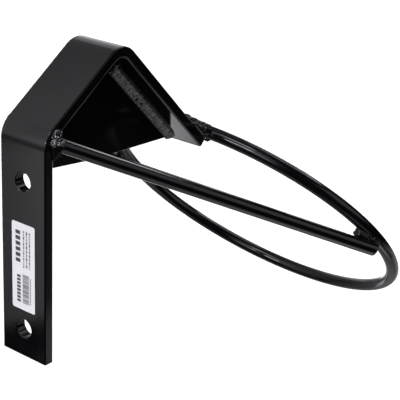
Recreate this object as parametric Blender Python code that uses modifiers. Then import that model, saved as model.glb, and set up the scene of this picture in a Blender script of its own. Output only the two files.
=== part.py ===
"""Bolt-on hoop holder: bent flat bar, gusset plate, round hoop and two brace rods, all welded.

Units are metres and +Z is up. The origin is on the mounting face of the flat bar, half way
between its two bolt holes. +X points away from the wall, and the hoop reaches out along it.
Right is the -Y side and left is the +Y side.
"""
from math import asin, atan2, cos, pi, radians, sin, tan

import bmesh
import bpy
from mathutils import Matrix, Vector

INCH = 0.0254
GAP = 0.0003                      # clearance between solids that touch

# Flat bar: upright with the bolt holes, diagonal going up and out, drop leg going down and out
BAR_WIDTH = 2.0 * INCH
BAR_THICKNESS = 0.375 * INCH
BAR_EDGE_RADIUS = 0.0012          # rounded long edges of rolled bar
BEND_INNER_RADIUS = 0.0120
UPRIGHT_LENGTH = 0.2000           # lower end to the outer corner of the first bend
DIAGONAL_LENGTH = 0.1106          # between the outer corners of the two bends
DROP_LENGTH = 0.1604              # outer corner of the second bend to the bar's end
DIAGONAL_ANGLE = radians(36.4)    # above horizontal
DROP_ANGLE = radians(-44.3)       # below horizontal

# Bolt holes, through the upright
HOLE_DIAMETER = 0.0169
HOLE_CHAMFER = 0.0006
HOLE_SPACING = 0.1317
FOOT_TO_HOLE = 0.0260             # lower end of the bar to the lower hole's centre

# Hoop of round rod, tilted parallel to the drop leg and resting on its end
ROD_DIAMETER = 0.5 * INCH
HOOP_OUTER_DIAMETER = 13.0 * INCH
HOOP_TILT = radians(45.0)
HOOP_STANDOFF = 0.0074            # drop leg's outer face to the centre of the hoop's rod

# Brace rods: start inside the first bend, end under the widest part of the hoop
BRACE_START = Vector((0.0201, 0.0270, 0.0986))
BRACE_END = Vector((0.2930, 0.1622, -0.0349))
BRACE_END_CHAMFER = 0.0010

# Gusset plate, inside the two bends
GUSSET_THICKNESS = 0.25 * INCH
GUSSET_EDGE_RADIUS = 0.0004
GUSSET_RIGHT_FACE_Y = 0.0075
GUSSET_LOWER_BACK_Z = 0.0680
GUSSET_LOWER_KNEE = (0.0850, 0.0610)
GUSSET_LOWER_FRONT_Z = 0.0584
GUSSET_SNIP_AT_UPPER_BEND = 0.0220
GUSSET_SNIP_AT_LOWER_BEND = 0.0120

# Fillet welds between the gusset and the bar, as (start, end) distances from an inner corner
FILLET_LEG = 0.0070
SMALL_FILLET_LEG = 0.0055
FILLET_FLATNESS = 1.5             # 1 makes a quarter round, 2 a flat face
DROP_BEAD = (0.034, 0.139)        # from the upper bend's inner corner
DIAGONAL_BEAD = (0.020, 0.066)    # from the lower bend's inner corner
UPRIGHT_BEAD = (0.014, 0.026)     # from the same corner, and clear of the upper bolt hole

# Beads between the hoop and the bar: radius at the middle and at the ends, the bead's centre
# line measured from the rod's, and how far it reaches each way from the middle of the bar
HOOP_UPPER_BEAD_MIDDLE = 0.0080
HOOP_UPPER_BEAD_END = 0.0053
HOOP_UPPER_BEAD_OUTWARD = 0.0065
HOOP_UPPER_BEAD_OFF_PLANE = -0.0006
HOOP_UPPER_BEAD_REACH = 0.0250
HOOP_LOWER_BEAD_MIDDLE = 0.0036
HOOP_LOWER_BEAD_END = 0.0020
HOOP_LOWER_BEAD_OUTWARD = -0.0030
HOOP_LOWER_BEAD_OFF_PLANE = -0.0074
HOOP_LOWER_BEAD_REACH = 0.0265
HOOP_BEAD_STEPS = 16

# Beads between the brace rods and the hoop, and between the brace rods and the bar
BRACE_BEAD_RADIUS = 0.0062
BRACE_BEAD_BACK = 0.0265          # from the brace's end, back along it
BRACE_BEAD_PAST = 0.0030          # and past its end
BRACE_BEAD_STEPS = 4
BAR_BLOB_LENGTH = 0.0300
BAR_BLOB_WIDTH = 0.0145
BAR_BLOB_OFFSET = Vector((-0.0065, -0.0005, 0.0015))  # from the left brace's start
BAR_BLOB_AXIS = Vector((0.35, 0.0, 1.0))

# Paper label on the mounting face
LABEL_WIDTH = 0.0266
LABEL_HEIGHT = 0.0782
LABEL_THICKNESS = 0.0002
LABEL_CORNER_RADIUS = 0.0020
LABEL_CENTRE = (-0.0006, -0.0091)  # along Y and Z

# Fineness of round shapes
ARC_STEP = radians(7.5)
ROD_SIDES = 24
HOOP_SEGMENTS = 96
HOOP_SIDES = 16
HOLE_SIDES = 32
EDGE_STEPS = 2
FILLET_STEPS = 4
BEAD_ROUNDNESS = 3

# ---------------------------------------------------------------------------------------------
# Scene
# ---------------------------------------------------------------------------------------------

for old in list(bpy.data.objects):
    bpy.data.objects.remove(old, do_unlink=True)

parts = bpy.data.collections.new("hoop_holder")
cutters = bpy.data.collections.new("cutters")
bpy.context.scene.collection.children.link(parts)
bpy.context.scene.collection.children.link(cutters)

holder_origin = bpy.data.objects.new("holder_origin", None)
parts.objects.link(holder_origin)


def make_material(name, color, roughness, metallic):
    material = bpy.data.materials.new(name)
    material.use_nodes = True
    shader = material.node_tree.nodes["Principled BSDF"]
    shader.inputs["Base Color"].default_value = (*color, 1.0)
    shader.inputs["Roughness"].default_value = roughness
    shader.inputs["Metallic"].default_value = metallic
    return material


black_coat = make_material("black_powder_coat", (0.012, 0.012, 0.014), 0.32, 0.0)
black_weld = make_material("black_coated_weld", (0.020, 0.020, 0.022), 0.38, 0.0)
white_paper = make_material("white_label", (0.82, 0.82, 0.85), 0.55, 0.0)


def add_part(obj, material):
    """Put a finished object in the part's collection, under the origin empty."""
    for collection in list(obj.users_collection):
        collection.objects.unlink(obj)
    parts.objects.link(obj)
    obj.data.materials.clear()
    obj.data.materials.append(material)
    obj.parent = holder_origin
    return obj


def add_cutter(obj):
    """Put an object in the cutters' collection, out of the finished part."""
    for collection in list(obj.users_collection):
        collection.objects.unlink(obj)
    cutters.objects.link(obj)
    obj.hide_render = True
    obj.display_type = "WIRE"
    return obj


def smooth(obj, angle=radians(35.0)):
    obj.data.shade_smooth()
    obj.data.set_sharp_from_angle(angle=angle)


def subtract(obj, cutter):
    cut = obj.modifiers.new("cut_" + cutter.name, "BOOLEAN")
    cut.operation = "DIFFERENCE"
    cut.solver = "EXACT"
    cut.object = cutter


# ---------------------------------------------------------------------------------------------
# Shapes
# ---------------------------------------------------------------------------------------------

def offset_path(path, distance):
    """Shift an open path of (x, z) points sideways, to its right, with mitred corners."""
    directions = [(b - a).normalized() for a, b in zip(path, path[1:])]
    normals = [Vector((d.y, -d.x)) for d in directions]
    shifted = [path[0] + normals[0] * distance]
    for corner, before, after in zip(path[1:], normals, normals[1:]):
        shifted.append(corner + (before + after) * distance / (1.0 + before.dot(after)))
    shifted.append(path[-1] + normals[-1] * distance)
    return shifted


def round_corner(before, corner, after, radius):
    """Points of the arc that rounds one corner of a path."""
    to_before = (before - corner).normalized()
    to_after = (after - corner).normalized()
    half = to_before.angle(to_after) / 2.0
    centre = corner + (to_before + to_after).normalized() * radius / sin(half)
    start = corner + to_before * radius / tan(half) - centre
    sweep = pi - 2.0 * half
    if start.x * (corner - centre).y - start.y * (corner - centre).x < 0.0:
        sweep = -sweep
    steps = max(3, round(abs(sweep) / ARC_STEP))
    first = atan2(start.y, start.x)
    angles = [first + sweep * i / steps for i in range(steps + 1)]
    return [centre + radius * Vector((cos(a), sin(a))) for a in angles]


def round_path(path, radius):
    """An open path with each of its inner corners rounded."""
    points = [path[0]]
    for before, corner, after in zip(path, path[1:], path[2:]):
        points += round_corner(before, corner, after, radius)
    return points + [path[-1]]


def to_mesh(curve_object):
    """Replace a curve object by a mesh object with its caps welded."""
    depsgraph = bpy.context.evaluated_depsgraph_get()
    mesh = bpy.data.meshes.new_from_object(curve_object.evaluated_get(depsgraph))
    shape = bmesh.new()
    shape.from_mesh(mesh)
    bmesh.ops.remove_doubles(shape, verts=shape.verts, dist=0.00001)
    bmesh.ops.recalc_face_normals(shape, faces=shape.faces)
    shape.to_mesh(mesh)
    shape.free()
    name = curve_object.name
    placed = curve_object.matrix_world.copy()
    curve_object.name = name + "_curve"
    result = bpy.data.objects.new(name, mesh)
    bpy.context.scene.collection.objects.link(result)
    result.matrix_world = placed
    curve = curve_object.data
    bpy.data.objects.remove(curve_object, do_unlink=True)
    bpy.data.curves.remove(curve)
    return result


def plate(name, outline, thickness, placed, edge_radius=0.0):
    """A flat outline, extruded to a thickness about its plane, with rounded edges."""
    curve = bpy.data.curves.new(name, "CURVE")
    curve.dimensions = "2D"
    curve.fill_mode = "BOTH"
    curve.extrude = thickness / 2.0 - edge_radius
    curve.bevel_depth = edge_radius
    curve.bevel_resolution = EDGE_STEPS if edge_radius else 0
    curve.offset = -edge_radius
    spline = curve.splines.new("POLY")
    spline.points.add(len(outline) - 1)
    for point, place in zip(spline.points, outline):
        point.co = (place[0], place[1], 0.0, 1.0)
    spline.use_cyclic_u = True
    obj = bpy.data.objects.new(name, curve)
    bpy.context.scene.collection.objects.link(obj)
    obj.matrix_world = placed
    bpy.context.view_layer.update()
    return to_mesh(obj)


def side_view(y):
    """Placement of an outline drawn in X and Z, at a given Y."""
    return Matrix.Translation((0.0, y, 0.0)) @ Matrix.Rotation(pi / 2.0, 4, "X")


def rod(name, start, end, radius):
    """A straight round rod between two points."""
    run = end - start
    bpy.ops.mesh.primitive_cylinder_add(vertices=ROD_SIDES, radius=radius, depth=run.length)
    obj = bpy.context.object
    obj.name = name
    obj.location = (start + end) / 2.0
    obj.rotation_mode = "QUATERNION"
    obj.rotation_quaternion = run.to_track_quat("Z", "Y")
    return obj


def torus(name, rod_radius):
    """The hoop's ring, with a chosen rod radius."""
    bpy.ops.mesh.primitive_torus_add(
        major_radius=HOOP_RADIUS, minor_radius=rod_radius,
        major_segments=HOOP_SEGMENTS, minor_segments=HOOP_SIDES)
    obj = bpy.context.object
    obj.name = name
    obj.location = HOOP_CENTRE
    obj.rotation_euler = (0.0, HOOP_TILT, 0.0)
    return obj


def blob(name, centre, axis, length, width):
    """A long rounded lump of weld, to be cut back by its neighbours."""
    bpy.ops.mesh.primitive_uv_sphere_add(segments=20, ring_count=12, radius=1.0)
    obj = bpy.context.object
    obj.name = name
    obj.data.transform(Matrix.Diagonal((width / 2.0, width / 2.0, length / 2.0, 1.0)))
    obj.location = centre
    obj.rotation_mode = "QUATERNION"
    obj.rotation_quaternion = axis.to_track_quat("Z", "Y")
    return obj


def bead_along(name, points, radii):
    """A round bead of weld through some points, to be cut back by its neighbours."""
    curve = bpy.data.curves.new(name, "CURVE")
    curve.dimensions = "3D"
    curve.bevel_depth = 1.0
    curve.bevel_resolution = BEAD_ROUNDNESS
    curve.use_fill_caps = True
    spline = curve.splines.new("POLY")
    spline.points.add(len(points) - 1)
    for knot, place, radius in zip(spline.points, points, radii):
        knot.co = (*place, 1.0)
        knot.radius = radius
    obj = bpy.data.objects.new(name, curve)
    bpy.context.scene.collection.objects.link(obj)
    bpy.context.view_layer.update()
    return to_mesh(obj)


def fillet(name, start, end, wall_a, wall_b, leg):
    """A fillet weld along a corner: wall_a and wall_b point from the corner along its walls."""
    run = end - start
    if wall_a.cross(wall_b).dot(run) < 0.0:
        wall_a, wall_b = wall_b, wall_a
    outline = [(GAP, GAP)]
    for i in range(FILLET_STEPS + 1):
        angle = pi / 2.0 * i / FILLET_STEPS
        across = leg * max(cos(angle), 0.0) ** FILLET_FLATNESS
        up = leg * sin(angle) ** FILLET_FLATNESS
        outline.append((max(across, GAP), max(up, GAP)))
    turned = Matrix((wall_a, wall_b, run.normalized())).transposed().to_4x4()
    placed = Matrix.Translation((start + end) / 2.0) @ turned
    return plate(name, outline, run.length, placed)


def mirrored(point, side):
    """A point given for the left, moved to the wanted side (-1 is right, +1 is left)."""
    return Vector((point.x, point.y * side, point.z))


# ---------------------------------------------------------------------------------------------
# Places worked out from the driving dimensions
# ---------------------------------------------------------------------------------------------

FOOT_Z = -HOLE_SPACING / 2.0 - FOOT_TO_HOLE
DIAGONAL_DIRECTION = Vector((cos(DIAGONAL_ANGLE), sin(DIAGONAL_ANGLE)))
DROP_DIRECTION = Vector((cos(DROP_ANGLE), sin(DROP_ANGLE)))

lower_bend = Vector((0.0, FOOT_Z + UPRIGHT_LENGTH))
upper_bend = lower_bend + DIAGONAL_DIRECTION * DIAGONAL_LENGTH
bar_end = upper_bend + DROP_DIRECTION * DROP_LENGTH
bar_path = [Vector((0.0, FOOT_Z)), lower_bend, upper_bend, bar_end]
inner_path = offset_path(bar_path, BAR_THICKNESS)
inside_path = offset_path(bar_path, BAR_THICKNESS + GAP)

ROD_RADIUS = ROD_DIAMETER / 2.0
HOOP_RADIUS = HOOP_OUTER_DIAMETER / 2.0 - ROD_RADIUS
drop_outward = Vector((-DROP_DIRECTION.y, DROP_DIRECTION.x))
hoop_rest = bar_end + drop_outward * HOOP_STANDOFF
HOOP_LONG_AXIS = Vector((cos(HOOP_TILT), 0.0, -sin(HOOP_TILT)))
HOOP_CROSS_AXIS = Vector((0.0, 1.0, 0.0))
HOOP_NORMAL = HOOP_LONG_AXIS.cross(HOOP_CROSS_AXIS)
HOOP_CENTRE = Vector((hoop_rest.x, 0.0, hoop_rest.y)) + HOOP_LONG_AXIS * HOOP_RADIUS


def in_3d(point, y=0.0):
    return Vector((point.x, y, point.y))


def hoop_outward(angle):
    """The direction away from the hoop's middle, with angle 0 at its far end from the wall."""
    return cos(angle) * HOOP_LONG_AXIS + sin(angle) * HOOP_CROSS_AXIS


def hoop_point(angle):
    """A point on the centre line of the hoop's rod."""
    return HOOP_CENTRE + HOOP_RADIUS * hoop_outward(angle)


def nearest_on_hoop(point):
    offset = point - HOOP_CENTRE
    return hoop_point(atan2(offset.y, offset.dot(HOOP_LONG_AXIS)))


# ---------------------------------------------------------------------------------------------
# Flat bar
# ---------------------------------------------------------------------------------------------

def bar_solid(name, grow=0.0):
    """The bent bar, or a slightly larger copy of it that cuts its neighbours back."""
    outer = offset_path(bar_path, -grow)
    inner = offset_path(bar_path, BAR_THICKNESS + grow)
    foot = Vector((0.0, -grow))
    tip = DROP_DIRECTION * grow
    outer[0] += foot
    inner[0] += foot
    outer[-1] += tip
    inner[-1] += tip
    outer = round_path(outer, BEND_INNER_RADIUS + BAR_THICKNESS + grow)
    inner = round_path(inner, BEND_INNER_RADIUS - grow)
    outline = outer + inner[::-1]
    return plate(name, outline, BAR_WIDTH + 2.0 * grow, side_view(0.0), BAR_EDGE_RADIUS)


def hole_cutter(name, z):
    """A turned cutter for one bolt hole, with a small chamfer at each mouth."""
    radius = HOLE_DIAMETER / 2.0
    beyond = 0.002
    half = BAR_THICKNESS / 2.0
    wide = radius + HOLE_CHAMFER + beyond
    profile = [(0.0, half + beyond), (wide, half + beyond), (radius, half - HOLE_CHAMFER),
               (radius, HOLE_CHAMFER - half), (wide, -half - beyond), (0.0, -half - beyond)]
    mesh = bpy.data.meshes.new(name)
    edges = [(i, i + 1) for i in range(len(profile) - 1)]
    mesh.from_pydata([(r, 0.0, h) for r, h in profile], edges, [])
    cutter = bpy.data.objects.new(name, mesh)
    cutters.objects.link(cutter)
    turn = cutter.modifiers.new("turn", "SCREW")
    turn.axis = "Z"
    turn.steps = HOLE_SIDES
    turn.render_steps = HOLE_SIDES
    turn.use_merge_vertices = True
    turn.merge_threshold = 0.00001
    cutter.location = (half, 0.0, z)
    cutter.rotation_euler = (0.0, pi / 2.0, 0.0)
    return add_cutter(cutter)


bracket_bar = add_part(bar_solid("bracket_bar"), black_coat)
smooth(bracket_bar)
for label, z in (("lower", -HOLE_SPACING / 2.0), ("upper", HOLE_SPACING / 2.0)):
    subtract(bracket_bar, hole_cutter("hole_cutter_" + label, z))

bar_clearance = add_cutter(bar_solid("bar_clearance", GAP))

# ---------------------------------------------------------------------------------------------
# Gusset plate
# ---------------------------------------------------------------------------------------------

gusset_y = GUSSET_RIGHT_FACE_Y + GUSSET_THICKNESS / 2.0


def along(start, end, distance):
    return start + (end - start).normalized() * distance


back_foot = Vector((inside_path[0].x, GUSSET_LOWER_BACK_Z))
drop_inner = inside_path[2]
front_run = (GUSSET_LOWER_FRONT_Z - drop_inner.y) / DROP_DIRECTION.y
front_foot = drop_inner + DROP_DIRECTION * front_run
gusset_outline = [
    back_foot,
    along(inside_path[1], inside_path[0], GUSSET_SNIP_AT_LOWER_BEND),
    along(inside_path[1], inside_path[2], GUSSET_SNIP_AT_LOWER_BEND),
    along(inside_path[2], inside_path[1], GUSSET_SNIP_AT_UPPER_BEND),
    along(inside_path[2], inside_path[3], GUSSET_SNIP_AT_UPPER_BEND),
    front_foot,
    Vector(GUSSET_LOWER_KNEE),
]
gusset_plate = plate("gusset_plate", gusset_outline, GUSSET_THICKNESS, side_view(gusset_y),
                     GUSSET_EDGE_RADIUS)
add_part(gusset_plate, black_coat)

# ---------------------------------------------------------------------------------------------
# Hoop and brace rods
# ---------------------------------------------------------------------------------------------

hoop_ring = add_part(torus("hoop_ring", ROD_RADIUS), black_coat)
smooth(hoop_ring)
hoop_clearance = add_cutter(torus("hoop_clearance", ROD_RADIUS + GAP))

SIDES = (("right", -1.0), ("left", 1.0))
brace_ends = {}
brace_clearances = {}
for word, side in SIDES:
    start = mirrored(BRACE_START, side)
    end = mirrored(BRACE_END, side)
    brace_ends[word] = (start, end)
    brace = add_part(rod("brace_rod_" + word, start, end, ROD_RADIUS), black_coat)
    chamfer = brace.modifiers.new("end_chamfer", "BEVEL")
    chamfer.width = BRACE_END_CHAMFER
    chamfer.segments = 2
    chamfer.limit_method = "ANGLE"
    chamfer.angle_limit = radians(60.0)
    smooth(brace, radians(60.0))
    overrun = (end - start).normalized() * GAP
    clearance = rod("brace_clearance_" + word, start - overrun, end + overrun, ROD_RADIUS + GAP)
    brace_clearances[word] = add_cutter(clearance)

# ---------------------------------------------------------------------------------------------
# Weld beads
# ---------------------------------------------------------------------------------------------

# Gusset to bar: a fillet on each side of the plate, along each of the three stretches of bar
into_drop = -in_3d(drop_outward)
into_diagonal = Vector((sin(DIAGONAL_ANGLE), 0.0, -cos(DIAGONAL_ANGLE)))
into_upright = Vector((1.0, 0.0, 0.0))
bead_runs = (
    ("drop", inner_path[2], inner_path[3], DROP_BEAD, into_drop, FILLET_LEG),
    ("diagonal", inner_path[1], inner_path[2], DIAGONAL_BEAD, into_diagonal, SMALL_FILLET_LEG),
    ("upright", inner_path[1], inner_path[0], UPRIGHT_BEAD, into_upright, SMALL_FILLET_LEG),
)
for stretch, corner, towards, (begin, finish), away, leg in bead_runs:
    for word, side in SIDES:
        y = gusset_y + side * GUSSET_THICKNESS / 2.0
        start = in_3d(along(corner, towards, begin), y)
        end = in_3d(along(corner, towards, finish), y)
        sideways = Vector((0.0, side, 0.0))
        bead = fillet(f"weld_gusset_{stretch}_{word}", start, end, sideways, away, leg)
        add_part(bead, black_weld)


def hoop_bead(name, middle, end, outward, off_plane, reach):
    """A bead along the hoop across the end of the bar, fuller in its middle than at its ends."""
    points = []
    radii = []
    for i in range(HOOP_BEAD_STEPS + 1):
        y = reach * (2.0 * i / HOOP_BEAD_STEPS - 1.0)
        angle = pi - asin(y / HOOP_RADIUS)
        points.append(hoop_point(angle) + hoop_outward(angle) * outward + HOOP_NORMAL * off_plane)
        radii.append(end + (middle - end) * (1.0 - abs(y) / reach) ** 3)
    bead = add_part(bead_along(name, points, radii), black_weld)
    subtract(bead, bar_clearance)
    subtract(bead, hoop_clearance)


# Hoop to drop leg: one bead on the uphill side of the rod, one over the bar's cut end
hoop_bead("weld_hoop_upper", HOOP_UPPER_BEAD_MIDDLE, HOOP_UPPER_BEAD_END,
          HOOP_UPPER_BEAD_OUTWARD, HOOP_UPPER_BEAD_OFF_PLANE, HOOP_UPPER_BEAD_REACH)
hoop_bead("weld_hoop_lower", HOOP_LOWER_BEAD_MIDDLE, HOOP_LOWER_BEAD_END,
          HOOP_LOWER_BEAD_OUTWARD, HOOP_LOWER_BEAD_OFF_PLANE, HOOP_LOWER_BEAD_REACH)

# Brace to bar, inside the first bend, and brace to hoop, in the crotch between the two rods
for word, side in SIDES:
    start, end = brace_ends[word]
    centre = start + mirrored(BAR_BLOB_OFFSET, side)
    name = "weld_brace_bar_" + word
    bead = add_part(blob(name, centre, BAR_BLOB_AXIS, BAR_BLOB_LENGTH, BAR_BLOB_WIDTH), black_weld)
    subtract(bead, bar_clearance)
    subtract(bead, brace_clearances[word])

    run = (end - start).normalized()
    points = []
    for i in range(BRACE_BEAD_STEPS + 1):
        past_end = -BRACE_BEAD_BACK + (BRACE_BEAD_BACK + BRACE_BEAD_PAST) * i / BRACE_BEAD_STEPS
        on_brace = end + run * past_end
        points.append((on_brace + nearest_on_hoop(on_brace)) / 2.0)
    radii = [BRACE_BEAD_RADIUS] * len(points)
    bead = add_part(bead_along("weld_brace_hoop_" + word, points, radii), black_weld)
    subtract(bead, brace_clearances[word])
    subtract(bead, hoop_clearance)

# ---------------------------------------------------------------------------------------------
# Label
# ---------------------------------------------------------------------------------------------

label_y, label_z = LABEL_CENTRE
half_w = LABEL_WIDTH / 2.0
half_h = LABEL_HEIGHT / 2.0
corners = [Vector((x * half_w, z * half_h)) for x, z in ((-1, -1), (1, -1), (1, 1), (-1, 1))]
label_outline = []
for i, corner in enumerate(corners):
    label_outline += round_corner(corners[i - 1], corner, corners[(i + 1) % 4], LABEL_CORNER_RADIUS)
label_x = -GAP - LABEL_THICKNESS / 2.0
facing_wall = Matrix.Rotation(-pi / 2.0, 4, "Z") @ Matrix.Rotation(pi / 2.0, 4, "X")
label_place = Matrix.Translation((label_x, label_y, label_z)) @ facing_wall
label = plate("label", label_outline, LABEL_THICKNESS, label_place)
add_part(label, white_paper)
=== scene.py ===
"""Looks of the bolt-on hoop holder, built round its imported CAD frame.

Units are metres and +Z is up. The origin is on the mounting face, half way between the bolt
holes. +X points away from the wall, right is the -Y side and left is the +Y side. The main
dimensions repeat the CAD source; boxes of its nodes give the rest.
"""

from math import asin, atan2, cos, pi, radians, sin, tan
from random import Random

import bmesh
import bpy
from mathutils import Matrix, Vector, noise


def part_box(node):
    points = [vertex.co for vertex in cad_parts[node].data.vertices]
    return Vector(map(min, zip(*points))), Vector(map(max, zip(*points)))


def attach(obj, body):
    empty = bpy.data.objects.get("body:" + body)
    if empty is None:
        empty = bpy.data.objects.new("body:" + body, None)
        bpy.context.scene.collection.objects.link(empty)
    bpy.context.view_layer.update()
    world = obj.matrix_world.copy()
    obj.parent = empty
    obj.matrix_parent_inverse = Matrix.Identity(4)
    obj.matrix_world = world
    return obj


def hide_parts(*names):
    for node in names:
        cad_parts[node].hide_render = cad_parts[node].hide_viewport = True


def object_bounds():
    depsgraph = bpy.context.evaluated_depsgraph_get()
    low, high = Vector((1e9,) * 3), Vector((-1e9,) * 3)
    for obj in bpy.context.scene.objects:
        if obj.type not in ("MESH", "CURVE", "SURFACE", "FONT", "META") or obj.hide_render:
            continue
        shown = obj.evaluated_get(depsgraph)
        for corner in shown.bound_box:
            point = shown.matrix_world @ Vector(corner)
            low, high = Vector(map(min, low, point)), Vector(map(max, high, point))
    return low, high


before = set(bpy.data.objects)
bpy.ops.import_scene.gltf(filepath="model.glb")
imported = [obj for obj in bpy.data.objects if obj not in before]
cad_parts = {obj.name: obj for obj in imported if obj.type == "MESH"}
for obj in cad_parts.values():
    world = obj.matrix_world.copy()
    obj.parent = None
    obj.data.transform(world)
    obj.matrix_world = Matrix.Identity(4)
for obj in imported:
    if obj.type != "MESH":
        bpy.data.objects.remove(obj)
cad_low, cad_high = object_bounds()

MM = 0.001
INCH = 0.0254

# Bar, rods and hoop, as in the CAD source
BAR_THICKNESS = 0.375 * INCH
BAR_EDGE_RADIUS = 1.2 * MM
BEND_INNER_RADIUS = 12.0 * MM
UPRIGHT_LENGTH = 200.0 * MM
DIAGONAL_LENGTH = 110.6 * MM
DROP_LENGTH = 160.4 * MM
DIAGONAL_ANGLE = radians(36.4)
DROP_ANGLE = radians(-44.3)
HOLE_RADIUS = 8.45 * MM
HOLE_CHAMFER = 0.6 * MM
HOLE_SPACING = 131.7 * MM
ROD_RADIUS = 0.25 * INCH
HOOP_TILT = radians(45.0)
BRACE_START = Vector((0.0201, 0.0270, 0.0986))
BRACE_END = Vector((0.2930, 0.1622, -0.0349))
BRACE_END_ROUND = 1.2 * MM
BRACE_ROOT = 3.4 * MM              # each brace runs this much deeper into its first weld
GUSSET_SNIP_AT_UPPER_BEND = 22.0 * MM
GUSSET_SNIP_AT_LOWER_BEND = 12.0 * MM
GUSSET_LOWER_BACK_Z = 68.0 * MM
GUSSET_LOWER_KNEE = Vector((0.0850, 0.0610))
GUSSET_LOWER_FRONT_Z = 58.4 * MM
GAP = 0.3 * MM

# Small shapes that the CAD leaves out
BAR_INNER_EDGE_RADIUS = 1.8 * MM   # the bar's long edges are rounder on the inside
BAR_END_BREAK = 0.4 * MM           # eased edges at the bar's two cut ends
BEND_BULGE = 0.25 * MM             # bending widens the bar on the inside of a bend
BULGE_REACH = 7.0 * MM
GUSSET_EDGE = 0.5 * MM
SEAM_ANGLE = radians(-136.0)       # where the hoop's two ends are butt-welded
SEAM_WIDTH = 2.6 * MM
SEAM_HEIGHT = 0.45 * MM

# Fineness
STATION_STEP = 5.0 * MM
BEND_STEPS = 24
EDGE_STEPS = 4
HOLE_SEGMENTS = 72
ROD_SEGMENTS = 48
HOOP_SEGMENTS = 288
HOOP_SIDES = 36
WELD_VOXEL = 0.45 * MM

SIDES = (("right", -1.0), ("left", 1.0))

# ---------------------------------------------------------------------------------------------
# Places worked out from the frame
# ---------------------------------------------------------------------------------------------

bar_low, bar_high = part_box("bracket_bar")
gusset_low, gusset_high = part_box("gusset_plate")
hoop_low, hoop_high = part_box("hoop_ring")
label_low, label_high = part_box("label")

HALF_WIDTH = (bar_high.y - bar_low.y) / 2.0
FOOT_Z = bar_low.z
HOOP_RADIUS = (hoop_high.y - hoop_low.y) / 2.0 - ROD_RADIUS
HOOP_CENTRE = (hoop_low + hoop_high) / 2.0
HOOP_LONG_AXIS = Vector((cos(HOOP_TILT), 0.0, -sin(HOOP_TILT)))
HOOP_CROSS_AXIS = Vector((0.0, 1.0, 0.0))
HOOP_NORMAL = HOOP_LONG_AXIS.cross(HOOP_CROSS_AXIS)


def flat(angle):
    """A direction in the X-Z plane, as (x, z)."""
    return Vector((cos(angle), sin(angle)))


def inward(direction):
    """The direction across the bar, from its outer face to its inner face, as (x, z)."""
    return Vector((direction.y, -direction.x))


def in_3d(point, y=0.0):
    """An (x, z) point or direction, set at some y."""
    return Vector((point.x, y, point.y))


UP = flat(pi / 2.0)
DIAGONAL = flat(DIAGONAL_ANGLE)
DROP = flat(DROP_ANGLE)
RUNS = (UP, DIAGONAL, DROP)

foot = Vector((0.0, FOOT_Z))
lower_bend = foot + UP * UPRIGHT_LENGTH
upper_bend = lower_bend + DIAGONAL * DIAGONAL_LENGTH
bar_end = upper_bend + DROP * DROP_LENGTH
corners = (foot, lower_bend, upper_bend, bar_end)


def inner_corner(corner, before, after, depth=BAR_THICKNESS):
    """Where the bar's inner faces would meet at a bend, as (x, z)."""
    a, b = inward(before), inward(after)
    return corner + (a + b) * depth / (1.0 + a.dot(b))


lower_inner = inner_corner(lower_bend, UP, DIAGONAL)
upper_inner = inner_corner(upper_bend, DIAGONAL, DROP)


def hoop_outward(angle):
    """The direction away from the hoop's middle, with angle 0 at its far end from the wall."""
    return cos(angle) * HOOP_LONG_AXIS + sin(angle) * HOOP_CROSS_AXIS


def hoop_point(angle):
    return HOOP_CENTRE + HOOP_RADIUS * hoop_outward(angle)


def hoop_angle(point):
    offset = point - HOOP_CENTRE
    return atan2(offset.y, offset.dot(HOOP_LONG_AXIS))


def mirrored(point, side):
    """A point given for the left, moved to the wanted side (-1 is right, +1 is left)."""
    return Vector((point.x, point.y * side, point.z))


# ---------------------------------------------------------------------------------------------
# Mesh tools
# ---------------------------------------------------------------------------------------------

def new_object(name, shape):
    """An object from a bmesh, which is freed."""
    bmesh.ops.recalc_face_normals(shape, faces=shape.faces)
    mesh = bpy.data.meshes.new(name)
    shape.to_mesh(mesh)
    shape.free()
    obj = bpy.data.objects.new(name, mesh)
    bpy.context.scene.collection.objects.link(obj)
    return obj


def apply_modifiers(obj):
    """Replace the object's mesh by what its modifiers make of it."""
    depsgraph = bpy.context.evaluated_depsgraph_get()
    made = bpy.data.meshes.new_from_object(obj.evaluated_get(depsgraph))
    old = obj.data
    obj.modifiers.clear()
    obj.data = made
    bpy.data.meshes.remove(old)


def shade(obj, sharp=radians(40.0)):
    """Smooth shading with crisp corners, and flat faces that stay flat."""
    obj.data.shade_smooth()
    obj.data.set_sharp_from_angle(angle=sharp)
    weighted = obj.modifiers.new("weighted_normals", "WEIGHTED_NORMAL")
    weighted.keep_sharp = True
    weighted.weight = 100


def tube(shape, rings, closed=False):
    """Quads between rings of points; an open tube gets a face at each end."""
    made = [[shape.verts.new(point) for point in ring] for ring in rings]
    count = len(made[0])
    pairs = list(zip(made, made[1:]))
    if closed:
        pairs.append((made[-1], made[0]))
    for a, b in pairs:
        for i in range(count):
            j = (i + 1) % count
            shape.faces.new((a[i], a[j], b[j], b[i]))
    if not closed:
        shape.faces.new(made[0][::-1])
        shape.faces.new(made[-1])


def turned(name, profile, segments, place):
    """A turned solid: profile is (radius, height) from one end to the other, on the local Z."""
    shape = bmesh.new()
    angles = [2.0 * pi * i / segments for i in range(segments)]
    rings = [[place @ Vector((r * cos(a), r * sin(a), h)) for a in angles] for r, h in profile]
    tube(shape, rings)
    return new_object(name, shape)


def rounded_rod(name, start, end, radius, edge):
    """A straight rod with rounded rims at its two cut ends."""
    run = end - start
    steps = [pi / 2.0 * i / EDGE_STEPS for i in range(EDGE_STEPS + 1)]
    rim = [(radius - edge + edge * sin(a), edge - edge * cos(a)) for a in steps]
    profile = rim + [(r, run.length - h) for r, h in rim[::-1]]
    turn = run.to_track_quat("Z", "Y").to_matrix().to_4x4()
    return turned(name, profile, ROD_SEGMENTS, Matrix.Translation(start) @ turn)


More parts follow.
